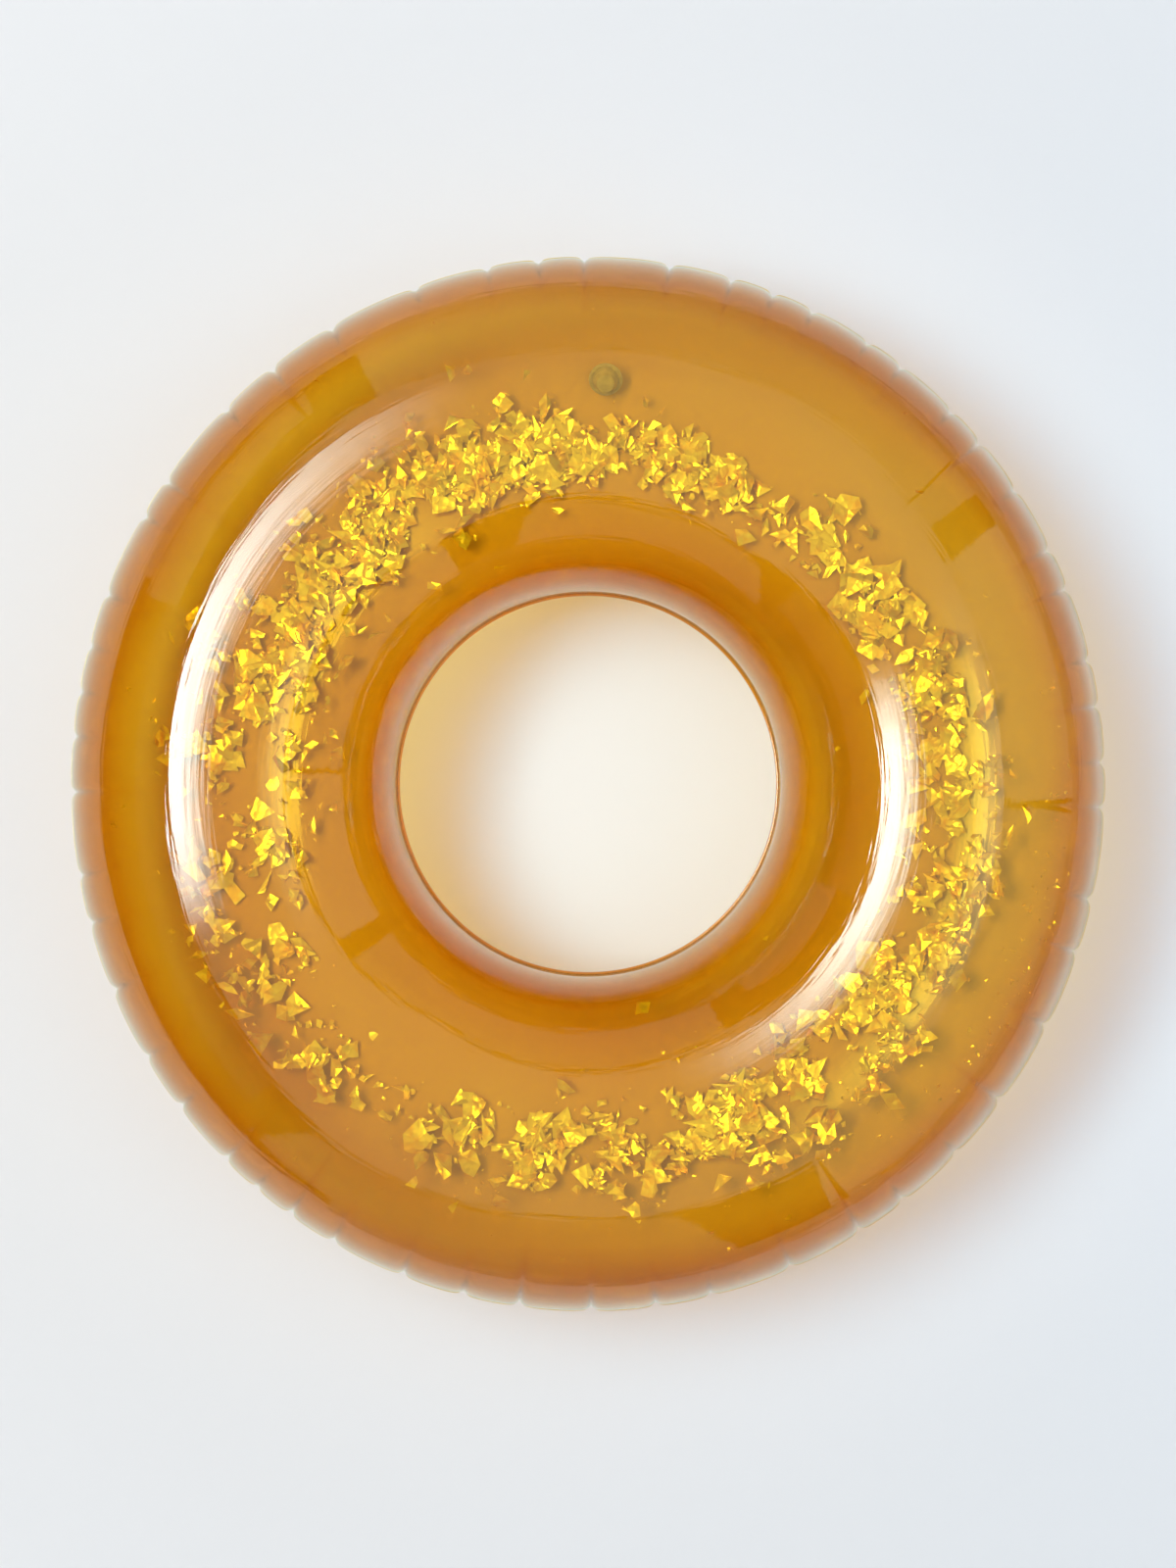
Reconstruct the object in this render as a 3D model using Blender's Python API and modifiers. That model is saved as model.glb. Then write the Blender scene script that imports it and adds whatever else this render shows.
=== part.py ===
"""Inflatable pool ring of clear amber vinyl, with loose gold foil sealed inside its tube.

Two flat-cut sheets are welded together along an outer and an inner seam and blown up into a
tube. A push-in valve with a captive plug is welded to the underside, and foil flakes lie
loose along the bottom of the tube. Metres, +Z up, origin on the floor under the ring's centre.
"""
import math
import random

import bmesh
import bpy
from mathutils import Matrix, Vector
from mathutils.bvhtree import BVHTree

# ---- driving dimensions -------------------------------------------------------------------
OUTER_DIAMETER = 1.100      # over the outer weld flange
HOLE_DIAMETER = 0.400       # inside the inner weld flange
WELD_WIDTH = 0.003          # how far each weld flange stands out of the tube
FILM = 0.0003               # thickness of the vinyl sheet
GAP = 0.0003                # clearance between pieces that meet
RING_STEPS = 72             # facets around the ring
TUBE_STEPS = 13             # facets around half of the tube, odd so that one lies flat on the floor

RING_RADIUS = (OUTER_DIAMETER + HOLE_DIAMETER) / 4
TUBE_RADIUS = (OUTER_DIAMETER - HOLE_DIAMETER) / 4 - WELD_WIDTH
FACET = math.pi / TUBE_STEPS
SEAM_HEIGHT = TUBE_RADIUS * math.cos(FACET / 2) + GAP / 2

# valve, measured along its own axis: 0 is the outer face of the skin, plus is out of the tube
VALVE_HOLE = 0.0145         # radius of the hole in the lower skin
VALVE_FLANGE = 0.0190       # outer radius of the welded flange
VALVE_FLANGE_BORE = 0.0143
COLLAR_RIM = 0.0140         # the soft collar narrows from the flange down to the stem's foot
COLLAR_FOOT = 0.0104
COLLAR_WALL = 0.0006
STEM_BORE = 0.0040
STEM_RADIUS = 0.0060
STEM_FOOT_RADIUS = 0.0094
STEM_MOUTH = -0.0022
STEM_FOOT = -0.0174
STRAP_HINGE = Vector((-0.0106, 0.0, -0.0017))
FLAP_RADIUS = 0.0052
VALVE_STEPS = 32

# loose foil
FLAKES = 44
FLAKE_SIZE = (0.006, 0.019)     # smallest and largest radius of a flake
FLAKE_THICKNESS = 0.0002
FLAKE_BAND = 0.386              # mean radius of the drift of foil along the tube's bottom
FLAKE_SPREAD = 0.024
FLAKE_DRIFT = -0.029            # the foil has slid this far towards the front
SEED = 11

# ---- set-up -------------------------------------------------------------------------------
for old in list(bpy.data.objects):
    bpy.data.objects.remove(old, do_unlink=True)

parts = bpy.data.collections.new("pool_ring")
cutters = bpy.data.collections.new("cutters")
for group in (parts, cutters):
    bpy.context.scene.collection.children.link(group)


def material(name, colour, roughness, alpha=1.0, metallic=0.0):
    mat = bpy.data.materials.new(name)
    mat.use_nodes = True
    shader = mat.node_tree.nodes["Principled BSDF"]
    shader.inputs["Base Color"].default_value = (*colour, 1.0)
    shader.inputs["Roughness"].default_value = roughness
    shader.inputs["Metallic"].default_value = metallic
    shader.inputs["Alpha"].default_value = alpha
    mat.diffuse_color = (*colour, alpha)
    return mat


AMBER = (0.80, 0.42, 0.06)
MILKY = (0.82, 0.80, 0.84)


def add(name, mesh, mat, group=parts, parent=None, at=(0.0, 0.0, 0.0)):
    """Link a mesh as one named piece, at a place given in its parent's frame."""
    obj = bpy.data.objects.new(name, mesh)
    group.objects.link(obj)
    if mat:
        mesh.materials.append(mat)
    obj.parent = parent
    obj.location = at
    return obj


def turned(name, outline, steps, mat, **place):
    """Revolve a closed outline of (radius, height) points about the piece's own Z."""
    mesh = bpy.data.meshes.new(name)
    count = len(outline)
    on_axis = outline[0][0] == 0.0 and outline[-1][0] == 0.0
    edges = [(i, i + 1) for i in range(count - 1)] + ([] if on_axis else [(count - 1, 0)])
    mesh.from_pydata([(radius, 0.0, height) for radius, height in outline], edges, [])
    obj = add(name, mesh, mat, **place)
    screw = obj.modifiers.new("turn", 'SCREW')
    screw.axis = 'Z'
    screw.steps = screw.render_steps = steps
    screw.use_merge_vertices = True
    screw.merge_threshold = 0.00001
    screw.use_smooth_shade = False
    return obj


def block(name, low, high, mat=None, **place):
    """A box between two corners given in the parent's frame of the piece."""
    mesh = bpy.data.meshes.new(name)
    form = bmesh.new()
    low, high = Vector(low), Vector(high)
    size = high - low
    bmesh.ops.create_cube(form, size=1.0, matrix=Matrix.Translation((low + high) / 2)
                          @ Matrix.Diagonal((*size, 1.0)))
    form.to_mesh(mesh)
    form.free()
    return add(name, mesh, mat, **place)


def combine(obj, cutter, operation):
    cutter.hide_render = True
    cutter.display_type = 'WIRE'
    boolean = obj.modifiers.new(operation.lower(), 'BOOLEAN')
    boolean.operation = operation
    boolean.solver = 'EXACT'
    boolean.object = cutter


# ---- the two skins ------------------------------------------------------------------------
amber = material("amber_vinyl", AMBER, 0.08, alpha=0.45)


def skin_outline(side):
    """Half of the tube with a weld flange at each end; side is +1 above the seam, -1 below."""
    base = GAP / 2
    lip = math.asin(FILM / TUBE_RADIUS)
    points = [(RING_RADIUS + TUBE_RADIUS + WELD_WIDTH, base),
              (RING_RADIUS + TUBE_RADIUS + WELD_WIDTH, base + FILM)]
    for step in range(TUBE_STEPS + 1):
        turn = min(max(step * FACET, lip), math.pi - lip)
        points.append((RING_RADIUS + TUBE_RADIUS * math.cos(turn),
                       base + TUBE_RADIUS * math.sin(turn)))
    points += [(RING_RADIUS - TUBE_RADIUS - WELD_WIDTH, base + FILM),
               (RING_RADIUS - TUBE_RADIUS - WELD_WIDTH, base)]
    for step in range(TUBE_STEPS, -1, -1):
        turn = step * FACET
        points.append((RING_RADIUS + (TUBE_RADIUS - FILM) * math.cos(turn),
                       base + (TUBE_RADIUS - FILM) * math.sin(turn)))
    points = [(radius, side * height) for radius, height in points]
    return points[::-1] if side > 0 else points


upper = turned("upper_skin", skin_outline(+1), RING_STEPS, amber, at=(0, 0, SEAM_HEIGHT))
lower = turned("lower_skin", skin_outline(-1), RING_STEPS, amber, at=(0, 0, SEAM_HEIGHT))

# ---- the valve ----------------------------------------------------------------------------
# It stands square on the skin's facet two out from the tube's lowest one, half a ring step
# from the back of the ring, and is stored pushed in.
lean = 2 * FACET
bearing = math.radians(90) - math.pi / RING_STEPS
flat = TUBE_RADIUS * math.cos(FACET / 2)
out = Vector((math.cos(bearing), math.sin(bearing), 0.0))
normal = out * math.sin(lean) - Vector((0, 0, math.cos(lean)))
across = Vector((0, 0, 1)).cross(out)
seat = (out * (RING_RADIUS + flat * math.sin(lean)) * math.cos(math.pi / RING_STEPS)
        + Vector((0, 0, SEAM_HEIGHT - GAP / 2 - flat * math.cos(lean))))

valve = bpy.data.objects.new("valve_axis", None)
parts.objects.link(valve)
frame = Matrix((across, normal.cross(across), normal)).transposed().to_4x4()
valve.matrix_world = Matrix.Translation(seat) @ frame
bpy.context.view_layer.update()

milky = material("milky_vinyl", MILKY, 0.25, alpha=0.8)

hole = turned("valve_hole", [(0.0, 0.006), (VALVE_HOLE, 0.006), (VALVE_HOLE, -0.006), (0.0, -0.006)],
              VALVE_STEPS, None, group=cutters)
hole.matrix_world = valve.matrix_world
combine(lower, hole, 'DIFFERENCE')

FLANGE_TOP = -FILM - GAP
turned("valve_flange",
       [(VALVE_FLANGE_BORE, FLANGE_TOP), (VALVE_FLANGE, FLANGE_TOP),
        (VALVE_FLANGE, FLANGE_TOP - 0.0008), (VALVE_FLANGE_BORE, FLANGE_TOP - 0.0008)],
       VALVE_STEPS, amber, parent=valve)
turned("valve_collar",
       [(COLLAR_RIM, -0.0008), (COLLAR_RIM - 0.0002, -0.0060), (COLLAR_FOOT, -0.0168),
        (COLLAR_FOOT - COLLAR_WALL, -0.0168), (COLLAR_RIM - 0.0002 - COLLAR_WALL, -0.0060),
        (COLLAR_RIM - COLLAR_WALL, -0.0008)],
       VALVE_STEPS, milky, parent=valve)

stem = turned("valve_stem",
              [(STEM_BORE, STEM_MOUTH), (STEM_RADIUS, STEM_MOUTH), (STEM_RADIUS, STEM_FOOT + 0.0012),
               (STEM_FOOT_RADIUS, STEM_FOOT + 0.0012), (STEM_FOOT_RADIUS, STEM_FOOT),
               (STEM_BORE, STEM_FOOT)],
              VALVE_STEPS, milky, parent=valve)
lug = block("strap_lug", (-0.0104, -0.0025, STEM_MOUTH - 0.0013),
            (-0.0050, 0.0025, STEM_MOUTH - 0.0001), group=cutters, parent=valve)
combine(stem, lug, 'UNION')

# the plug and its strap swing together about the strap's outer end
strap_axis = bpy.data.objects.new("strap_axis", None)
parts.objects.link(strap_axis)
strap_axis.parent = valve
strap_axis.location = STRAP_HINGE
CAP_RADIUS = 0.0056
CAP_FOOT = STEM_MOUTH + GAP - STRAP_HINGE.z
block("valve_strap", (0.0, -0.0022, 0.0), (-STRAP_HINGE.x - CAP_RADIUS - GAP, 0.0022, 0.0008),
      milky, parent=strap_axis)
plug = turned("valve_plug",
              [(0.0, CAP_FOOT + 0.0012), (CAP_RADIUS, CAP_FOOT + 0.0012), (CAP_RADIUS, CAP_FOOT),
               (0.0036, CAP_FOOT), (0.0027, CAP_FOOT - 0.0046), (0.0, CAP_FOOT - 0.0046)],
              VALVE_STEPS, milky, parent=strap_axis, at=(-STRAP_HINGE.x, 0.0, 0.0))
tab = block("pull_tab", (-STRAP_HINGE.x + 0.0050, -0.0020, CAP_FOOT + 0.0001),
            (-STRAP_HINGE.x + 0.0092, 0.0020, CAP_FOOT + 0.0010), group=cutters, parent=strap_axis)
combine(plug, tab, 'UNION')

# the check flap closes the stem's inner end and swings into the tube about its edge
flap_axis = bpy.data.objects.new("flap_axis", None)
parts.objects.link(flap_axis)
flap_axis.parent = valve
flap_axis.location = (FLAP_RADIUS, 0.0, STEM_FOOT - GAP)
turned("check_flap", [(0.0, 0.0), (FLAP_RADIUS, 0.0), (FLAP_RADIUS, -0.0006), (0.0, -0.0006)],
       VALVE_STEPS, milky, parent=flap_axis, at=(-FLAP_RADIUS, 0.0, 0.0))

# ---- loose gold foil ----------------------------------------------------------------------
gold = material("gold_foil", (0.95, 0.72, 0.10), 0.25, metallic=1.0)
rng = random.Random(SEED)

bpy.context.view_layer.update()
view = bpy.context.evaluated_depsgraph_get()
skin = lower.evaluated_get(view)
skin_mesh = skin.to_mesh()
floor = BVHTree.FromPolygons([skin.matrix_world @ v.co for v in skin_mesh.vertices],
                             [tuple(face.vertices) for face in skin_mesh.polygons])
skin.to_mesh_clear()


def foil_shape(radius):
    """An irregular shard: a few corners at uneven angles and distances."""
    corners = rng.choice((3, 4, 4, 5, 6))
    turns = sorted((corner + rng.uniform(-0.28, 0.28)) * math.tau / corners
                   for corner in range(corners))
    return [Vector((math.cos(turn), math.sin(turn), 0.0)) * radius * rng.uniform(0.62, 1.0)
            for turn in turns]


def settle(outline, x, y):
    """Lay a shard on the inside of the lower skin at x, y, just clear of it."""
    radius = math.hypot(x, y)
    tilt = math.asin((radius - RING_RADIUS) / TUBE_RADIUS)
    away = Vector((x, y, 0.0)).normalized()
    up = Vector((0, 0, math.cos(tilt))) - away * math.sin(tilt)
    turn = Vector((0, 0, 1)).rotation_difference(up).to_matrix().to_4x4()
    place = Matrix.Translation((x, y, 0.1)) @ turn
    drop = min(floor.ray_cast(place @ corner, Vector((0, 0, -1)))[3] for corner in outline)
    return Matrix.Translation((0, 0, 2 * GAP - drop)) @ place


laid = []
while len(laid) < FLAKES:
    radius = FLAKE_SIZE[0] + (FLAKE_SIZE[1] - FLAKE_SIZE[0]) * rng.random() ** 1.6
    bearing = rng.uniform(0, math.tau)
    distance = rng.gauss(FLAKE_BAND, FLAKE_SPREAD)
    x = distance * math.cos(bearing)
    y = distance * math.sin(bearing) + FLAKE_DRIFT
    near_valve = math.hypot(x - seat.x, y - seat.y) < radius + 0.024
    near_flake = any(math.hypot(x - a, y - b) < radius + c + 0.002 for a, b, c in laid)
    if near_valve or near_flake:
        continue
    laid.append((x, y, radius))
    name = f"gold_flake_{len(laid):02d}"
    outline = foil_shape(radius)
    mesh = bpy.data.meshes.new(name)
    form = bmesh.new()
    form.faces.new([form.verts.new(corner) for corner in outline])
    form.to_mesh(mesh)
    form.free()
    flake = add(name, mesh, gold)
    flake.matrix_world = settle(outline, x, y)
    sheet = flake.modifiers.new("foil", 'SOLIDIFY')
    sheet.thickness = FLAKE_THICKNESS
    sheet.offset = 1.0
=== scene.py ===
import math
import random

import bmesh
import bpy
from mathutils import Matrix, Vector, noise


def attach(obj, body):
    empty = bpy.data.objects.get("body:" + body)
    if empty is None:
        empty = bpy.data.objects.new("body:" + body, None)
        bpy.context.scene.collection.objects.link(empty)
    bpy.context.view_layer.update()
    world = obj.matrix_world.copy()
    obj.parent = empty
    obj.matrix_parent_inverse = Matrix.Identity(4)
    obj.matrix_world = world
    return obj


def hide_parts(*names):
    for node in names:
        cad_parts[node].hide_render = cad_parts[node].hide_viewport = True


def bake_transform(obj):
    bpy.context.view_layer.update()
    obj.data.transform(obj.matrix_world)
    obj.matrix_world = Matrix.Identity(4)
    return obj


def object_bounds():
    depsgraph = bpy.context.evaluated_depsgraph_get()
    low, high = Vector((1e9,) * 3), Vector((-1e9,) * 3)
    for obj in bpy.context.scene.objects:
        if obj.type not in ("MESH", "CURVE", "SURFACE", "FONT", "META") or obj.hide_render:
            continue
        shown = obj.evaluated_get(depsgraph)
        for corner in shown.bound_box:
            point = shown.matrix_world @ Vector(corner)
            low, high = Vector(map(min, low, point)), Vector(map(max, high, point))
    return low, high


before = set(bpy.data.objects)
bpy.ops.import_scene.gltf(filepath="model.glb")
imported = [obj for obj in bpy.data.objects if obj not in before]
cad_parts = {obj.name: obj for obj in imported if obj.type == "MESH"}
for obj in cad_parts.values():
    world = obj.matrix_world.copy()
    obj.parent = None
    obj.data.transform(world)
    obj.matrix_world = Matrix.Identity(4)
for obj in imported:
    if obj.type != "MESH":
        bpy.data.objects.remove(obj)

CAD_LOW, CAD_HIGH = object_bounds()

# ---- sizes, in metres, in the CAD's frame --------------------------------------------------
WELD = 0.003                        # width of each weld flange
OUTER_RADIUS = CAD_HIGH.x - WELD    # tube's outer limb
INNER_RADIUS = 0.203                # tube's inner limb, at the hole
RING_RADIUS = (OUTER_RADIUS + INNER_RADIUS) / 2
TUBE_RADIUS = (OUTER_RADIUS - INNER_RADIUS) / 2
FILM_INSET = 0.0002                 # how far the film lies inside the CAD's top and bottom
HALF_HEIGHT = (CAD_HIGH.z - CAD_LOW.z) / 2 - FILM_INSET
SEAM_Z = (CAD_HIGH.z + CAD_LOW.z) / 2
SEAM_GAP = 0.0003                   # between the two skins at the welds
FLOOR_Z = -0.0006
SEED = 7

PUCKERS = 52                        # gathers along the outer weld
PUCKER_UNEVEN = 0.42                # how uneven their spacing is
NOTCH_DEPTH = (0.0045, 0.0085)      # how far a gather is drawn in at the weld
NOTCH_REACH = 0.030                 # how far that notch runs over the tube
NOTCH_FALL = 1.3                    # how suddenly it ends
CREASE_DEPTH = (0.0014, 0.0036)     # the long crease that goes on from it
CREASE_REACH = (0.050, 0.120)
CREASE_CHANGE = (0.75, 1.3)         # its reach on either skin, as a share of that
CREASE_FALL = 2.5
CREASE_WIDTH = 0.0022
CREASE_WIDENS = 1.5                 # how much wider it gets at its reach, as a share of its width
PILLOW = 0.0016                     # how far the film swells between two gathers
PILLOW_REACH = 0.045
PILLOW_FALL = 1.3
OVAL = (-0.002, 0.009)              # how far the outer weld stands out at the sides and at the ends
PUCKER_COLUMNS = 26                 # mesh columns between two gathers
TUBE_ROWS = 84                      # mesh rows over half of the tube
ROW_CROWDING = 0.62                 # share of the rows' spacing that narrows to the outer weld
ROW_POWER = 1.7

FOIL_COUNT = 2900
FOIL_SIZE = (0.0038, 0.0200)        # smallest and largest radius of a flake
FOIL_HEAP = 0.006                   # how deep the drift lies
CRUMB_COUNT = 1300
CRUMB_SIZE = (0.0012, 0.0038)
CRUMB_HEAP = 0.003
DUST_COUNT = 130
DUST_SIZE = (0.0012, 0.0045)
DUST_LIFT = 0.003                   # how far above the film it clings
FOIL_CLEAR = 0.0012                 # least gap between a flake and the film
FOIL_HALF_WIDTH = 0.125             # how far the drift may reach from the middle of the tube

FLAKE_CORNERS = (3, 4, 4, 5, 6, 7)
FLAKE_STRETCH = (0.32, 1.0)         # a flake's width as a share of its length
FLAKE_REACH = (0.50, 1.25)          # a corner's distance as a share of the flake's radius
FLAKE_UNEVEN = 0.33                 # how unevenly its corners lie round it, as a share of a step
FLAKE_CRUMPLE = 0.14                # how far they stand out of its plane, as a share of its radius
FLAKE_MIDDLE = (0.15, 0.10)         # how far from its middle its facets meet, as such a share

# The CAD's valve stands square on a facet of the lower skin: half a facet round the ring from
# the back, and two facets out round the tube from the one that lies on the floor.
VALVE_BEARING = math.pi / 72        # half of one of the ring's 72 facets, clockwise from the back
TUBE_FACET = math.pi / 13           # one of the lower skin's 13 facets
VALVE_LEAN = 2 * TUBE_FACET
FACET_RADIUS = TUBE_RADIUS * math.cos(TUBE_FACET / 2)   # from the tube's middle to a facet's
VALVE_WAY = Vector((math.sin(VALVE_BEARING), math.cos(VALVE_BEARING), 0.0))
VALVE_ACROSS = Vector((0.0, 0.0, 1.0)).cross(VALVE_WAY)
VALVE_OUT = VALVE_WAY * math.sin(VALVE_LEAN) - Vector((0.0, 0.0, math.cos(VALVE_LEAN)))
VALVE_SEAT = (VALVE_WAY * (RING_RADIUS + FACET_RADIUS * math.sin(VALVE_LEAN))
              * math.cos(VALVE_BEARING)
              + Vector((0.0, 0.0, FACET_RADIUS * (1 - math.cos(VALVE_LEAN)))))
VALVE_HOLE = 0.0145                 # radius of the hole in the lower skin
HOLE_DEPTH = 0.03                   # how far along the valve's axis the film is looked at for it
VALVE_STEPS = 56                    # facets round the valve's turned pieces
MM = 0.001


# ---- small helpers -------------------------------------------------------------------------
def placed(name, mesh, mat):
    """An object of that mesh and material, in the scene."""
    obj = bpy.data.objects.new(name, mesh)
    bpy.context.scene.collection.objects.link(obj)
    mesh.materials.append(mat)
    return obj


def add_mesh(name, points, faces, mat, smooth=True):
    mesh = bpy.data.meshes.new(name)
    mesh.from_pydata([tuple(p) for p in points], [], faces)
    mesh.update()
    for face in mesh.polygons:
        face.use_smooth = smooth
    return placed(name, mesh, mat)


def new_material(name):
    mat = bpy.data.materials.new(name)
    mat.use_nodes = True
    mat.node_tree.nodes.clear()
    return mat, mat.node_tree.nodes, mat.node_tree.links


def node(nodes, kind, **settings):
    """A shader node. A setting in_Name is its input of that name, and any other its property."""
    made = nodes.new(kind)
    for key, value in settings.items():
        if key.startswith("in_"):
            made.inputs[key[3:].replace("_", " ")].default_value = value
        else:
            setattr(made, key, value)
    return made


def remap(nodes, links, source, low, high, to_low=0.0, to_high=1.0, smooth=False):
    made = node(nodes, "ShaderNodeMapRange",
                interpolation_type='SMOOTHSTEP' if smooth else 'LINEAR')
    for name, value in (("From Min", low), ("From Max", high),
                        ("To Min", to_low), ("To Max", to_high)):
        made.inputs[name].default_value = value
    links.new(source, made.inputs["Value"])
    return made.outputs["Result"]


def calculate(nodes, links, operation, first, second, clamp=False):
    made = node(nodes, "ShaderNodeMath", operation=operation, use_clamp=clamp)
    for slot, value in ((0, first), (1, second)):
        if isinstance(value, (int, float)):
            made.inputs[slot].default_value = value
        else:
            links.new(value, made.inputs[slot])
    return made.outputs["Value"]


def colour_ramp(nodes, links, source, stops):
    made = node(nodes, "ShaderNodeValToRGB")
    ramp = made.color_ramp
    while len(ramp.elements) < len(stops):
        ramp.elements.new(1.0)
    for element, (position, colour) in zip(ramp.elements, stops):
        element.position = position
        element.color = (*colour, 1.0)
    links.new(source, made.inputs["Fac"])
    return made.outputs["Color"]


# ---- amber film ----------------------------------------------------------------------------
# What one sheet lets through, from square on to a steep slant, where the light has more vinyl to
# cross. The slant deepens it further than that alone would, as painted shade.
FILM_TINTS = ((0.0, (0.928, 0.762, 0.190)), (0.26, (0.898, 0.668, 0.112)),
              (0.50, (0.790, 0.460, 0.028)))
WELD_TINTS = ((0.0, (0.86, 0.56, 0.09)), (0.5, (0.72, 0.38, 0.03)))
FACE_GLOSS = 0.028                  # share of light that one face of the film reflects head on
SCHLICK_POWER = 5.1                 # how late that share grows towards a glancing angle
GLOSS_TINT = (0.91, 1.0, 0.87, 1.0)
FILM_UNEVEN = 0.10                  # how much thicker or thinner the sheet is from place to place
PAINTED_SHADE_LEFT = (-0.15, -0.50, 0.10)   # painted shade in x: where it starts, where it is full, and how much it deepens the tint
PAINTED_SHADE_FRONT = (0.10, -0.45, 0.03)   # the same painted shade in y
LINE_STRETCH = 0.02                 # metres of noise to a radian, which draws lines round the ring


def film_material(name, tints, roughness=0.035, gloss_share=FACE_GLOSS, wave=0.35):
    """A thin clear film: it tints what is behind it and reflects more at a glancing angle."""
    mat, nodes, links = new_material(name)
    out = node(nodes, "ShaderNodeOutputMaterial")
    mix = node(nodes, "ShaderNodeMixShader")
    clear = node(nodes, "ShaderNodeBsdfTransparent")
    gloss = node(nodes, "ShaderNodeBsdfAnisotropic", in_Roughness=roughness, in_Color=GLOSS_TINT)
    place = node(nodes, "ShaderNodeTexCoord").outputs["Object"]

    # how far out and how far round the ring a point is
    split = node(nodes, "ShaderNodeSeparateXYZ")
    links.new(place, split.inputs["Vector"])
    level = node(nodes, "ShaderNodeVectorMath", operation='MULTIPLY')
    level.inputs[1].default_value = (1.0, 1.0, 0.0)
    links.new(place, level.inputs[0])
    radius = node(nodes, "ShaderNodeVectorMath", operation='LENGTH')
    links.new(level.outputs["Vector"], radius.inputs[0])
    turn = calculate(nodes, links, 'ARCTAN2', split.outputs["X"], split.outputs["Y"])
    ringwise = node(nodes, "ShaderNodeCombineXYZ")
    links.new(radius.outputs["Value"], ringwise.inputs["X"])
    links.new(calculate(nodes, links, 'MULTIPLY', turn, LINE_STRETCH), ringwise.inputs["Y"])

    # slow waves of a blown-up sheet, the fine grain of rolled vinyl, and lines stretched round
    # the ring that streak its highlights
    normal = None
    for where, scale, strength, distance, detail in (
            (place, 9.0, wave, 0.002, 1.0), (place, 160.0, 0.06, 0.0003, 2.0),
            (ringwise.outputs["Vector"], 170.0, 0.9, 0.0004, 2.0)):
        waves = node(nodes, "ShaderNodeTexNoise", in_Scale=scale, in_Detail=detail)
        links.new(where, waves.inputs["Vector"])
        bump = node(nodes, "ShaderNodeBump", in_Strength=strength, in_Distance=distance)
        links.new(waves.outputs["Fac"], bump.inputs["Height"])
        if normal:
            links.new(normal, bump.inputs["Normal"])
        normal = bump.outputs["Normal"]
    links.new(normal, gloss.inputs["Normal"])

    # Schlick's rule for one face, then 2R / (1 + R) for the two faces of a thin sheet
    facing = node(nodes, "ShaderNodeLayerWeight", in_Blend=0.5).outputs["Facing"]
    power = calculate(nodes, links, 'POWER', facing, SCHLICK_POWER)
    face = remap(nodes, links, power, 0.0, 1.0, gloss_share, 1.0)
    both = calculate(nodes, links, 'DIVIDE', calculate(nodes, links, 'MULTIPLY', face, 2.0),
                     calculate(nodes, links, 'ADD', face, 1.0))
    links.new(both, mix.inputs["Fac"])

    # the sheet's own colour, a little uneven
    cloud = node(nodes, "ShaderNodeTexNoise", in_Scale=6.0, in_Detail=3.0, in_Roughness=0.6)
    links.new(place, cloud.inputs["Vector"])
    uneven = remap(nodes, links, cloud.outputs["Fac"], 0.0, 1.0, -FILM_UNEVEN, FILM_UNEVEN)
    # and deeper round to the left and the front: painted shade
    left, front = (remap(nodes, links, split.outputs[axis], start, stop, 0.0, extra, smooth=True)
                   for axis, (start, stop, extra) in (("X", PAINTED_SHADE_LEFT), ("Y", PAINTED_SHADE_FRONT)))
    painted_shade = calculate(nodes, links, 'ADD', left, front)
    # painted shade: the slant, the left and the front deepen the tint, on top of the sheet's own
    # unevenness
    depth = calculate(nodes, links, 'ADD', calculate(nodes, links, 'ADD', facing, painted_shade), uneven,
                      clamp=True)
    links.new(colour_ramp(nodes, links, depth, tints), clear.inputs["Color"])

    links.new(clear.outputs["BSDF"], mix.inputs[1])
    links.new(gloss.outputs["BSDF"], mix.inputs[2])
    links.new(mix.outputs["Shader"], out.inputs["Surface"])
    return mat


film = film_material("amber_film", FILM_TINTS)
resting_film = film_material("amber_film_resting", FILM_TINTS, roughness=0.14, gloss_share=0.022)
weld_film = film_material("amber_weld", WELD_TINTS, roughness=0.12, wave=0.1)


# ---- the two skins -------------------------------------------------------------------------
def pucker_cells():
    """Angles and strengths of the gathers along the outer weld, unevenly spaced."""
    rng = random.Random(SEED)
    widths = [1.0 + PUCKER_UNEVEN * rng.uniform(-1, 1) for _ in range(PUCKERS)]
    total = sum(widths)
    angle, cells = rng.uniform(0, 0.1), []
    for width in widths:
        cells.append({"start": angle, "span": math.tau * width / total,
                      "notch": rng.uniform(*NOTCH_DEPTH), "crease": rng.uniform(*CREASE_DEPTH),
                      "reach": rng.uniform(*CREASE_REACH)})
        angle += math.tau * width / total
    return cells


CELLS = pucker_cells()


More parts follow.
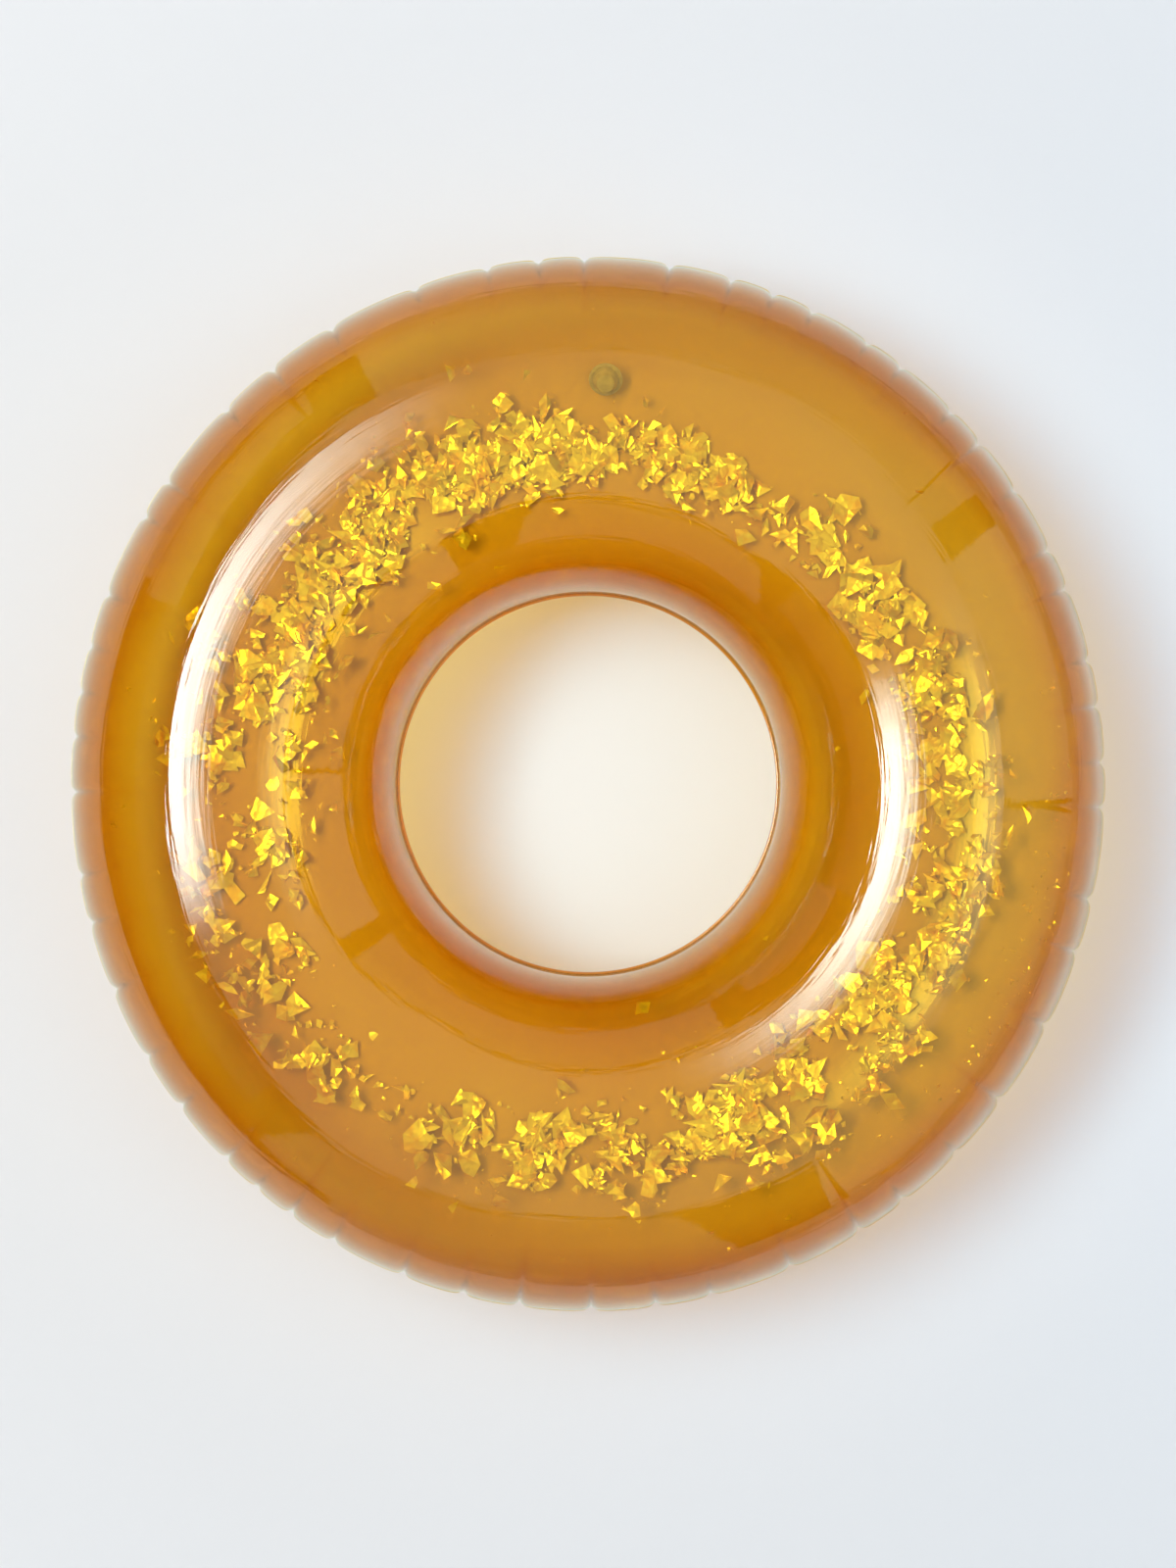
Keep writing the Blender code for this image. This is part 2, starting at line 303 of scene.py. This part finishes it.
def skin_points(side):
    """Rows of points from the outer weld over the tube to the inner weld."""
    rng = random.Random(SEED + (1 if side > 0 else 2))
    reach_change = [rng.uniform(*CREASE_CHANGE) for _ in CELLS]
    parts = [row / TUBE_ROWS for row in range(TUBE_ROWS + 1)]
    rows = [math.pi * (ROW_CROWDING * part ** ROW_POWER + (1 - ROW_CROWDING) * part)
            for part in parts]
    columns = []
    for index, cell in enumerate(CELLS):
        after = (index + 1) % len(CELLS)
        for step in range(PUCKER_COLUMNS):
            u = 0.5 - 0.5 * math.cos(math.pi * step / PUCKER_COLUMNS)
            columns.append((cell, index, after, u))
    points = []
    for turn in rows:
        run = TUBE_RADIUS * turn
        for cell, index, after, u in columns:
            angle = cell["start"] + cell["span"] * u
            arc = cell["span"] * OUTER_RADIUS
            dent = 0.0
            for which, away in ((index, u * arc), (after, (1 - u) * arc)):
                gather = CELLS[which]
                reach = gather["reach"] * reach_change[which]
                width = CREASE_WIDTH * (1 + CREASE_WIDENS * run / reach)
                depth = (gather["notch"] * math.exp(-(run / NOTCH_REACH) ** NOTCH_FALL)
                         + gather["crease"] * math.exp(-(run / reach) ** CREASE_FALL))
                dent += depth * math.exp(-away / width)
            flat = 1 - abs(2 * u - 1) ** 3
            out = PILLOW * flat * math.exp(-(run / PILLOW_REACH) ** PILLOW_FALL) - dent
            oval = OVAL[0] + (OVAL[1] - OVAL[0]) * math.sin(angle) ** 2
            wide = TUBE_RADIUS + out + oval * max(0.0, math.cos(turn))
            radius = RING_RADIUS + wide * math.cos(turn)
            height = (HALF_HEIGHT + out) * math.sin(turn)
            points.append((radius * math.cos(angle), radius * math.sin(angle),
                           SEAM_Z + side * (SEAM_GAP / 2 + height)))
    return points, len(rows), len(columns)


def cut_valve_hole(obj):
    """Opens the film at the valve: a fine round hole about the valve's axis."""
    form = bmesh.new()
    form.from_mesh(obj.data)

    def away(point):
        arm = point - VALVE_SEAT
        return (arm - VALVE_OUT * arm.dot(VALVE_OUT)).length

    def near(point, reach):
        return abs((point - VALVE_SEAT).dot(VALVE_OUT)) < HOLE_DEPTH and away(point) < reach

    edges = [e for e in form.edges if any(near(v.co, VALVE_HOLE * 2) for v in e.verts)]
    bmesh.ops.subdivide_edges(form, edges=edges, cuts=3, use_grid_fill=True)
    inside = {v for v in form.verts if near(v.co, VALVE_HOLE)}
    bmesh.ops.delete(form, context='FACES',
                     geom=[f for f in form.faces if all(v in inside for v in f.verts)])
    for vert in list(form.verts):
        if vert.is_valid and vert in inside and vert.link_faces:
            arm = vert.co - VALVE_SEAT
            along = VALVE_OUT * arm.dot(VALVE_OUT)
            flat = arm - along
            vert.co = VALVE_SEAT + along + flat * (VALVE_HOLE / flat.length)
    bmesh.ops.delete(form, context='VERTS', geom=[v for v in form.verts if not v.link_faces])
    form.to_mesh(obj.data)
    form.free()


def skin(name, side, node_name, mat):
    """One skin as a single film with a flat weld at each edge. The side is +1 for the upper."""
    points, rows, columns = skin_points(side)
    rim = []
    for row, step in ((0, WELD), (rows - 1, -WELD)):
        for column in range(columns):
            x, y, z = points[row * columns + column]
            radius = math.hypot(x, y)
            grow = (radius + step) / radius
            rim.append((x * grow, y * grow, SEAM_Z + side * SEAM_GAP / 2))
    outer, inner = rim[:columns], rim[columns:]
    points = outer + points + inner
    rows += 2
    faces = []
    for row in range(rows - 1):
        for column in range(columns):
            after = (column + 1) % columns
            a, b = row * columns + column, row * columns + after
            c, d = (row + 1) * columns + after, (row + 1) * columns + column
            faces.append((a, b, c, d) if side > 0 else (a, d, c, b))
    obj = add_mesh(name, points, faces, mat)
    obj.data.materials.append(weld_film)
    inner_weld = (rows - 2) * columns
    for index, face in enumerate(obj.data.polygons):
        if index >= inner_weld:
            face.material_index = 1
    if side < 0:
        cut_valve_hole(obj)
    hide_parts(node_name)
    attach(obj, "ring")


skin("upper_film", +1, "upper_skin", film)
skin("lower_film", -1, "lower_skin", resting_film)


# ---- gold foil -----------------------------------------------------------------------------
def foil_material(name, bright, dull):
    """Crumpled gold leaf, bright and dull in patches."""
    mat, nodes, links = new_material(name)
    out = node(nodes, "ShaderNodeOutputMaterial")
    shader = node(nodes, "ShaderNodeBsdfPrincipled", in_Metallic=0.7, in_Roughness=0.30)
    place = node(nodes, "ShaderNodeTexCoord").outputs["Object"]
    patch = node(nodes, "ShaderNodeTexNoise", in_Scale=55.0, in_Detail=2.0)
    links.new(place, patch.inputs["Vector"])
    links.new(colour_ramp(nodes, links, patch.outputs["Fac"], ((0.36, dull), (0.54, bright))),
              shader.inputs["Base Color"])
    crumple = node(nodes, "ShaderNodeTexVoronoi", in_Scale=120.0)
    links.new(place, crumple.inputs["Vector"])
    bump = node(nodes, "ShaderNodeBump", in_Strength=0.5, in_Distance=0.002)
    links.new(crumple.outputs["Distance"], bump.inputs["Height"])
    links.new(bump.outputs["Normal"], shader.inputs["Normal"])
    links.new(shader.outputs["BSDF"], out.inputs["Surface"])
    return mat


gold = foil_material("gold_foil", (1.0, 0.90, 0.24), (1.0, 0.72, 0.10))

# Where the foil lies: bearing clockwise from the back in degrees, how thickly, the radius of the
# middle of the drift and its spread about that, both in metres.
FOIL_LIES = ((0, 0.80, 0.379, 0.020), (20, 0.36, 0.376, 0.018), (45, 0.55, 0.378, 0.021),
             (66, 0.80, 0.398, 0.024), (95, 0.70, 0.415, 0.024), (120, 0.85, 0.421, 0.028),
             (143, 1.25, 0.420, 0.034), (170, 1.00, 0.414, 0.030), (195, 0.48, 0.429, 0.024),
             (210, 0.09, 0.432, 0.018), (224, 0.18, 0.426, 0.022), (245, 0.66, 0.416, 0.030),
             (262, 0.42, 0.410, 0.046), (282, 0.42, 0.388, 0.050), (300, 0.84, 0.381, 0.032),
             (325, 1.15, 0.374, 0.028), (345, 0.90, 0.380, 0.030), (360, 0.80, 0.379, 0.020))
CLUMPS = ((18, 3.7, 1.0), (50, 1.3, 0.6))   # its clumps: how fine, which layer of noise, how strong
CLUMP_SHARE = (0.50, 1.1)           # how much foil lies where the clumps' noise is 0, and more at 1
STRAY_SHARE = 0.05                  # share of the flakes that lie further from the drift's middle
STRAY_SPREAD = 2.2                  # how many times further
FOIL_TUMBLE = 0.19                  # how far a flake of the drift tilts from the film
DUST_BEARING = (112, 15)            # where most of the dust clings, and its spread, in degrees
DUST_GATHERED = 0.75                # share of it that does
DUST_EDGE = (0.012, 0.022)          # how far in from the tube's limb it starts, and its spread
DUST_TUMBLE = 0.35
STEEPEST = 0.98                     # sine of the steepest slope of the tube that foil lies on


def foil_lies(bearing):
    """How thickly the foil lies at a bearing, the radius of its middle and its spread."""
    turn = math.degrees(bearing) % 360
    for here, after in zip(FOIL_LIES, FOIL_LIES[1:]):
        if turn <= after[0]:
            part = (turn - here[0]) / (after[0] - here[0])
            return [a + part * (b - a) for a, b in zip(here[1:], after[1:])]


def settle(corners, tries=3):
    """Moves a flake towards the middle of the tube until every corner clears the film."""
    shift = Vector((0, 0, 0))
    for _ in range(tries):
        worst, way = 0.0, None
        for corner in corners:
            point = corner + shift
            out = math.hypot(point.x, point.y)
            arm = Vector((point.x / out * (out - RING_RADIUS), point.y / out * (out - RING_RADIUS),
                          point.z - SEAM_Z))
            over = arm.length - (HALF_HEIGHT - FOIL_CLEAR)
            if over > worst:
                worst, way = over, -arm.normalized()
        if way is None:
            break
        shift += way * worst
    return [corner + shift for corner in corners]


def add_flake(form, rng, at, up, size):
    """One torn, slightly crumpled shard: a fan of facets about a point near its middle."""
    turn = Vector((0, 0, 1)).rotation_difference(up).to_matrix().to_4x4()
    place = Matrix.Translation(at) @ turn @ Matrix.Rotation(rng.uniform(0, math.tau), 4, 'Z')
    corners = rng.choice(FLAKE_CORNERS)
    stretch = rng.uniform(*FLAKE_STRETCH)
    points = []
    for corner in range(corners):
        angle = (corner + rng.uniform(-FLAKE_UNEVEN, FLAKE_UNEVEN)) * math.tau / corners
        reach = size * rng.uniform(*FLAKE_REACH)
        points.append(place @ Vector((math.cos(angle) * reach, math.sin(angle) * reach * stretch,
                                      rng.gauss(0, FLAKE_CRUMPLE) * size)))
    points.append(place @ Vector([rng.gauss(0, spread) * size
                                  for spread in (*FLAKE_MIDDLE, FLAKE_CRUMPLE)]))
    verts = [form.verts.new(point) for point in settle(points)]
    for corner in range(corners):
        form.faces.new((verts[corner], verts[(corner + 1) % corners], verts[-1]))


def on_tube(x, y, lift):
    """The point lift above the inside of the lower skin over x, y, and the way up from it."""
    radius = math.hypot(x, y)
    lean = math.asin(max(-STEEPEST, min(STEEPEST, (radius - RING_RADIUS) / TUBE_RADIUS)))
    away = Vector((x / radius, y / radius, 0))
    up = Vector((0, 0, math.cos(lean))) - away * math.sin(lean)
    return Vector((x, y, SEAM_Z - HALF_HEIGHT * math.cos(lean))) + up * lift, up


def tumbled(rng, up, tumble):
    """The way up tilted a little, any way."""
    return (up + Vector([rng.gauss(0, tumble) for _ in range(3)])).normalized()


def finish_foil(form, name):
    mesh = bpy.data.meshes.new(name)
    form.to_mesh(mesh)
    form.free()
    obj = placed(name, mesh, gold)
    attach(obj, "ring")


def foil_drift(name, count, rng, sizes, heap):
    """Loose crumpled shards along the bottom of the tube, in clumps, as one piece."""
    form = bmesh.new()
    made = 0
    while made < count:
        bearing = rng.uniform(0, math.tau)
        share, middle, spread = foil_lies(bearing)
        stray = rng.random() < STRAY_SHARE
        distance = rng.gauss(middle, spread * (STRAY_SPREAD if stray else 1.0))
        x, y = distance * math.sin(bearing), distance * math.cos(bearing)
        clump = sum(weight * noise.noise(Vector((x * fine, y * fine, layer)))
                    for fine, layer, weight in CLUMPS)
        if rng.random() > share * (CLUMP_SHARE[0] + CLUMP_SHARE[1] * clump):
            continue
        if abs(math.hypot(x, y) - RING_RADIUS) > FOIL_HALF_WIDTH:
            continue
        size = sizes[0] + (sizes[1] - sizes[0]) * rng.random() ** 2.0
        at, up = on_tube(x, y, size * 0.2 + rng.random() ** 2 * heap)
        add_flake(form, rng, at, tumbled(rng, up, FOIL_TUMBLE), size)
        made += 1
    finish_foil(form, name)


def clinging_dust(name, count, rng):
    """Fine crumbs of foil that cling inside the tube near its outer weld."""
    form = bmesh.new()
    for _ in range(count):
        bearing = math.radians(rng.gauss(*DUST_BEARING) if rng.random() < DUST_GATHERED
                               else rng.uniform(0, 360))
        radius = OUTER_RADIUS - DUST_EDGE[0] - abs(rng.gauss(0, DUST_EDGE[1]))
        at, up = on_tube(radius * math.sin(bearing), radius * math.cos(bearing), DUST_LIFT)
        up = tumbled(rng, up, DUST_TUMBLE)
        add_flake(form, rng, at, up, rng.uniform(*DUST_SIZE))
    finish_foil(form, name)


foil_rng = random.Random(SEED + 3)
foil_drift("foil_shards", FOIL_COUNT, foil_rng, FOIL_SIZE, FOIL_HEAP)
foil_drift("foil_crumbs", CRUMB_COUNT, foil_rng, CRUMB_SIZE, CRUMB_HEAP)
clinging_dust("foil_dust", DUST_COUNT, foil_rng)

for name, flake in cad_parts.items():
    if name.startswith("gold_flake_"):
        flake.data.materials.clear()
        flake.data.materials.append(gold)


# ---- valve ---------------------------------------------------------------------------------
def milky_material():
    """Clear vinyl clouded to a bluish white, faintly mottled, with a satin face."""
    mat, nodes, links = new_material("milky_vinyl")
    out = node(nodes, "ShaderNodeOutputMaterial")
    shader = node(nodes, "ShaderNodeBsdfPrincipled", in_Roughness=0.32)
    place = node(nodes, "ShaderNodeTexCoord").outputs["Object"]
    cloud = node(nodes, "ShaderNodeTexNoise", in_Scale=110.0, in_Detail=3.0)
    links.new(place, cloud.inputs["Vector"])
    links.new(colour_ramp(nodes, links, cloud.outputs["Fac"],
                          ((0.35, (0.44, 0.40, 0.60)), (0.65, (0.58, 0.53, 0.76)))),
              shader.inputs["Base Color"])
    grain = node(nodes, "ShaderNodeTexNoise", in_Scale=900.0, in_Detail=2.0)
    links.new(place, grain.inputs["Vector"])
    bump = node(nodes, "ShaderNodeBump", in_Strength=0.25, in_Distance=0.0002)
    links.new(grain.outputs["Fac"], bump.inputs["Height"])
    links.new(bump.outputs["Normal"], shader.inputs["Normal"])
    links.new(shader.outputs["BSDF"], out.inputs["Surface"])
    return mat


milky = milky_material()
VALVE = Matrix((VALVE_ACROSS, VALVE_OUT.cross(VALVE_ACROSS), VALVE_OUT)).transposed().to_4x4()
VALVE.translation = VALVE_SEAT


def turned(name, profile):
    """A turned shape about the valve's axis from (radius, height) in millimetres, closed."""
    points, faces = [], []
    count = len(profile)
    for step in range(VALVE_STEPS):
        angle = math.tau * step / VALVE_STEPS
        for radius, height in profile:
            points.append(VALVE @ Vector((radius * MM * math.cos(angle),
                                          radius * MM * math.sin(angle), height * MM)))
    for step in range(VALVE_STEPS):
        after = (step + 1) % VALVE_STEPS
        for low in range(count):
            high = (low + 1) % count
            faces.append((step * count + low, after * count + low,
                          after * count + high, step * count + high))
    return add_mesh(name, points, faces, milky)


def slab(name, x, y, z, bevel=0.25):
    """A rounded block in the valve's frame, in millimetres."""
    corners = [(x[i] * MM, y[j] * MM, z[k] * MM) for i in (0, 1) for j in (0, 1) for k in (0, 1)]
    faces = [(0, 1, 3, 2), (4, 6, 7, 5), (0, 4, 5, 1), (2, 3, 7, 6), (0, 2, 6, 4), (1, 5, 7, 3)]
    obj = add_mesh(name, [VALVE @ Vector(c) for c in corners], faces, milky)
    form = bmesh.new()
    form.from_mesh(obj.data)
    bmesh.ops.recalc_face_normals(form, faces=form.faces)
    bmesh.ops.bevel(form, geom=form.edges[:], offset=bevel * MM, segments=3, profile=0.5,
                    affect='EDGES')
    form.to_mesh(obj.data)
    form.free()
    return obj


def rounded(profile, radius, segments=3):
    """The closed profile with every corner rounded off by up to radius, in millimetres."""
    made = []
    count = len(profile)
    for index, corner in enumerate(profile):
        corner = Vector(corner)
        before, after = Vector(profile[index - 1]), Vector(profile[(index + 1) % count])
        reach = min(radius, (before - corner).length * 0.4, (after - corner).length * 0.4)
        first = corner + (before - corner).normalized() * reach
        last = corner + (after - corner).normalized() * reach
        for step in range(segments + 1):
            part = step / segments
            made.append(tuple(first.lerp(corner, part).lerp(corner.lerp(last, part), part)))
    return made


def joined(name, pieces):
    """One object from several closed shapes of the same moulding."""
    form = bmesh.new()
    for piece in pieces:
        form.from_mesh(piece.data)
        bpy.data.objects.remove(piece)
    bmesh.ops.recalc_face_normals(form, faces=form.faces)
    mesh = bpy.data.meshes.new(name)
    form.to_mesh(mesh)
    form.free()
    for face in mesh.polygons:
        face.use_smooth = True
    return placed(name, mesh, milky)


def valve_piece(obj, node_name, body):
    """Shows obj for that CAD node, riding on the body, or on none if it already blends."""
    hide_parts(node_name)
    if body:
        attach(obj, body)


flange = joined("valve_weld_ring", [turned("flange", rounded(
    [(14.3, -0.6), (14.3, -1.4), (16.0, -1.4), (16.3, -1.6), (16.9, -1.6), (17.2, -1.4),
     (19.0, -1.4), (19.0, -0.6)], 0.2))])
valve_piece(flange, "valve_flange", "ring")

# the sleeve, in millimetres: soft, so it narrows from the flange to the stem's foot in waves
SLEEVE_STEPS = 40
SLEEVE_START, SLEEVE_LENGTH = -0.8, 16.0
SLEEVE_MOUTH, SLEEVE_NARROWS, SLEEVE_POWER = 14.4, 4.5, 1.6
SLEEVE_WAVE, SLEEVE_WAVES = 0.22, 19        # the waves' depth, and radians of them to its length
SLEEVE_WALL, SLEEVE_LIP = 0.6, 0.15         # its thickness, and how far its inner face is set out
outer_wall, inner_wall = [], []
for step in range(SLEEVE_STEPS + 1):
    part = step / SLEEVE_STEPS
    height = SLEEVE_START - SLEEVE_LENGTH * part
    wave = SLEEVE_WAVE * math.sin(math.pi * part) * math.sin(part * SLEEVE_WAVES)
    radius = SLEEVE_MOUTH - SLEEVE_NARROWS * part ** SLEEVE_POWER - wave
    outer_wall.append((radius, height))
    inner_wall.append((radius - SLEEVE_WALL, height + SLEEVE_LIP))
sleeve = joined("valve_sleeve", [turned("sleeve", outer_wall + inner_wall[::-1])])
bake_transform(sleeve)
valve_piece(sleeve, "valve_collar", None)

stem = joined("valve_tube", [
    turned("tube", rounded([(4.0, -2.2), (4.0, -17.4), (9.4, -17.4), (9.4, -16.2), (6.6, -16.2),
                            (6.0, -15.4), (6.0, -5.0), (6.4, -4.6), (6.4, -3.8), (6.0, -3.4),
                            (6.0, -2.2)], 0.35)),
    slab("lug", (-10.4, -5.0), (-2.6, 2.6), (-2.5, -1.3))])
valve_piece(stem, "valve_stem", "valve")

strap = joined("valve_band", [
    slab("band", (-10.6, -5.9), (-2.2, 2.2), (-1.3, -0.5), 0.2),
    slab("fold", (-11.05, -10.15), (-2.2, 2.2), (-2.15, -1.25), 0.4)])
valve_piece(strap, "valve_strap", "plug")

stopper = joined("valve_stopper", [
    turned("stopper", rounded([(0.01, -6.5), (0.01, -0.7), (4.9, -0.7), (5.6, -1.1), (5.6, -1.9),
                               (3.7, -1.9), (3.6, -2.4), (3.75, -3.2), (3.35, -3.6), (3.3, -4.4),
                               (3.45, -4.8), (2.9, -5.4), (2.7, -6.5)], 0.25)),
    slab("tab", (4.6, 9.2), (-1.8, 1.8), (-1.6, -0.9), 0.2),
    slab("rib", (7.6, 8.2), (-1.6, 1.6), (-1.7, -0.6), 0.15)])
valve_piece(stopper, "valve_plug", "plug")

flap = joined("valve_flap", [
    turned("flap", rounded([(0.01, -18.0), (0.01, -17.4), (5.2, -17.4), (5.2, -18.0)], 0.15)),
    slab("neck", (4.2, 5.6), (-1.2, 1.2), (-18.0, -17.4), 0.1)])
valve_piece(flap, "check_flap", "flap")


# ---- studio --------------------------------------------------------------------------------
FLOOR_RADIUS = 2.35                 # where the floor has faded into the backdrop
FLOOR_FULL = 1.45                   # where it starts to fade
LIGHT_POOL_RADII = (0.25, 0.90)           # radii between which the paper's painted pool of light falls off
LIGHT_POOL_WHITES = (0.87, 0.76)          # and the paper's whiteness, from the lit middle to the edge
ROOM = 1.6                          # how much larger the upper room is than one 3.3 m high
CAMERA_HEIGHT = 3.0
CAMERA_LENS = 61.1                  # millimetres
BACKDROP_RADIUS = 14.0


def floor_material():
    """Pale paper, painted lighter in the middle as a pool of light, and seen from above only, that
    fades into the backdrop before the walls."""
    mat, nodes, links = new_material("floor_paper")
    out = node(nodes, "ShaderNodeOutputMaterial")
    mix = node(nodes, "ShaderNodeMixShader")
    paper = node(nodes, "ShaderNodeBsdfDiffuse", in_Roughness=0.9)
    distance = node(nodes, "ShaderNodeVectorMath", operation='LENGTH')
    links.new(node(nodes, "ShaderNodeTexCoord").outputs["Object"], distance.inputs[0])
    # painted light: the paper's colour is lighter in the middle, as a pool of light
    links.new(remap(nodes, links, distance.outputs["Value"], *LIGHT_POOL_RADII, *LIGHT_POOL_WHITES,
                    smooth=True), paper.inputs["Color"])
    fade = remap(nodes, links, distance.outputs["Value"], FLOOR_FULL, FLOOR_RADIUS, smooth=True)
    under = node(nodes, "ShaderNodeNewGeometry").outputs["Backfacing"]
    links.new(calculate(nodes, links, 'MAXIMUM', fade, under), mix.inputs["Fac"])
    links.new(paper.outputs["BSDF"], mix.inputs[1])
    links.new(node(nodes, "ShaderNodeBsdfTransparent").outputs["BSDF"], mix.inputs[2])
    links.new(mix.outputs["Shader"], out.inputs["Surface"])
    return mat


WHITE = (1.0, 1.0, 1.0, 1.0)


def card(name, corners, radiance, fades=(), colour=WHITE, places=None, faces=None):
    """A glowing card that lights the object and shows in its gloss, but not in the picture.
    Its corners run round it. Fades are (axis, dark end, bright end) along its two directions,
    and a card that fades is added to what lies behind it."""
    mesh = bpy.data.meshes.new(name)
    mesh.from_pydata([tuple(c) for c in corners], [], faces or [(0, 1, 2, 3)])
    places = places or ((0, 0), (1, 0), (1, 1), (0, 1))
    layer = mesh.uv_layers.new(name="UVMap")
    for loop in mesh.loops:
        layer.data[loop.index].uv = places[loop.vertex_index]
    mat, nodes, links = new_material(name + "_light")
    out = node(nodes, "ShaderNodeOutputMaterial")
    glow = node(nodes, "ShaderNodeEmission", in_Strength=radiance, in_Color=colour)
    result = glow.outputs["Emission"]
    if fades:
        split = node(nodes, "ShaderNodeSeparateXYZ")
        links.new(node(nodes, "ShaderNodeTexCoord").outputs["UV"], split.inputs["Vector"])
        strength = radiance
        for axis, dark, bright in fades:
            fade = remap(nodes, links, split.outputs[axis], min(dark, bright), max(dark, bright),
                         float(dark > bright), float(dark < bright), smooth=True)
            strength = calculate(nodes, links, 'MULTIPLY', fade, strength)
        links.new(strength, glow.inputs["Strength"])
        both = node(nodes, "ShaderNodeAddShader")
        links.new(result, both.inputs[0])
        links.new(node(nodes, "ShaderNodeBsdfTransparent").outputs["BSDF"], both.inputs[1])
        result = both.outputs["Shader"]
    links.new(result, out.inputs["Surface"])
    panel = placed(name, mesh, mat)
    panel.visible_camera = False
    panel.visible_transmission = False
    return panel


def wall(name, start, end, low, high, radiance, colour=WHITE):
    """An upright card over the line from start to end, from height low to height high."""
    return card(name, [(*start, low), (*end, low), (*end, high), (*start, high)], radiance,
                colour=colour)


def sector(name, bearings, radii, height, radiance, fades=(), colour=WHITE, steps=24):
    """A level card over a range of bearings, in degrees clockwise from the back, and radii.
    X of its fades runs along the bearings and Y from the first radius to the second."""
    corners, places = [], []
    for step in range(steps + 1):
        part = step / steps
        turn = math.radians(bearings[0] + part * (bearings[1] - bearings[0]))
        for row, radius in enumerate(radii):
            corners.append((radius * math.sin(turn), radius * math.cos(turn), height))
            places.append((part, row))
    faces = [(2 * i, 2 * i + 1, 2 * i + 3, 2 * i + 2) for i in range(steps)]
    return card(name, corners, radiance, fades, colour, places, faces)


floor = add_mesh("floor", [(x * FLOOR_RADIUS, y * FLOOR_RADIUS, FLOOR_Z)
                           for x, y in ((-1, -1), (1, -1), (1, 1), (-1, 1))],
                 [(0, 1, 2, 3)], floor_material(), smooth=False)

# The ceiling and the window are each two cards: one shows in the gloss, and its spill lights
# what is dull.
for name, radiance in (("ceiling", 0.92), ("ceiling_spill", 0.70)):
    pane = card(name, [(x * ROOM, y * ROOM, 3.3 * ROOM) for x, y in
                       ((-2.6, -3.8), (2.5, -3.8), (2.5, 3.8), (-2.6, 3.8))], radiance,
                colour=(0.93, 0.97, 1.0, 1.0))
    pane.visible_diffuse = name == "ceiling_spill"
    pane.visible_glossy = name == "ceiling"
sector("ceiling_glow", (50, 140), (0.9 * ROOM, 2.9 * ROOM), 3.25 * ROOM, 1.3,
       (("X", 0.0, 0.5), ("X", 1.0, 0.5), ("Y", 0.0, 0.5), ("Y", 1.0, 0.7)))
for name, radiance, radii, colour in (
        ("window", 20.5, (3.2, 0.6), (0.80, 0.90, 1.0, 1.0)),
        ("window_spill", 16.5, (2.3, 0.3), (0.96, 0.98, 1.0, 1.0))):
    pane = sector(name, (246, 346), [radius * ROOM for radius in radii], 3.2 * ROOM, radiance,
                  (("X", 0.0, 0.20), ("X", 1.0, 0.35), ("Y", 0.0, 0.15), ("Y", 1.0, 0.35)),
                  colour=colour)
    pane.visible_diffuse = name == "window_spill"
    pane.visible_glossy = name == "window"
wall("back_wall", (-2.1, 3.8), (2.5, 3.8), 0.05, 3.2, 0.60)
wall("right_wall_back", (2.5, 3.8), (2.5, 1.86), 0.05, 3.2, 0.60)
wall("right_wall", (2.5, 1.56), (2.5, -0.10), 0.12, 3.2, 0.90)
wall("right_wall_front", (2.5, -0.14), (2.3, -3.8), 0.12, 3.2, 0.80)
cool_fill = wall("cool_fill", (1.9, 1.2), (1.9, -1.2), 0.05, 1.5, 1.8,
                 colour=(0.46, 0.72, 1.0, 1.0))
cool_fill.visible_glossy = False
# the floor goes on in the gloss where the real one has faded
far_floor = sector("far_floor", (-65, 212), (FLOOR_FULL, 4.2), FLOOR_Z, 0.48, steps=48)
far_floor.visible_diffuse = False
far_floor.visible_shadow = False
card("front_wall", [(-3.7, -3.8, 0.05), (1.3, -3.8, 0.05), (0.75, -3.8, 3.1), (-3.0, -3.8, 3.1)],
     0.48)
wall("left_wall", (-2.8, -2.6), (-2.8, 1.2), 1.3, 3.2, 0.16)
wall("left_wall_back", (-2.8, 1.2), (-2.8, 3.7), 0.3, 1.8, 0.40)


def backdrop_material():
    mat, nodes, links = new_material("backdrop_paper")
    out = node(nodes, "ShaderNodeOutputMaterial")
    glow = node(nodes, "ShaderNodeEmission", in_Strength=0.80, in_Color=(0.97, 0.98, 1.0, 1.0))
    links.new(glow.outputs["Emission"], out.inputs["Surface"])
    return mat


# a pale round backdrop for low views, seen only by the camera
form = bmesh.new()
bmesh.ops.create_uvsphere(form, u_segments=48, v_segments=24, radius=BACKDROP_RADIUS)
backdrop_mesh = bpy.data.meshes.new("backdrop")
form.to_mesh(backdrop_mesh)
form.free()
backdrop = placed("backdrop", backdrop_mesh, backdrop_material())
backdrop.visible_diffuse = False
backdrop.visible_glossy = False
backdrop.visible_transmission = False
backdrop.visible_shadow = False

world = bpy.data.worlds.new("room")
bpy.context.scene.world = world
world.use_nodes = True
background = world.node_tree.nodes["Background"]
background.inputs["Color"].default_value = (0.9, 0.95, 1.0, 1.0)
background.inputs["Strength"].default_value = 0.03

camera = bpy.data.objects.new("camera", bpy.data.cameras.new("camera"))
bpy.context.scene.collection.objects.link(camera)
camera.location = (0.0, 0.0, CAMERA_HEIGHT)
camera.data.lens = CAMERA_LENS
camera.data.clip_end = 60
bpy.context.scene.camera = camera

bpy.context.scene.view_settings.view_transform = 'Standard'
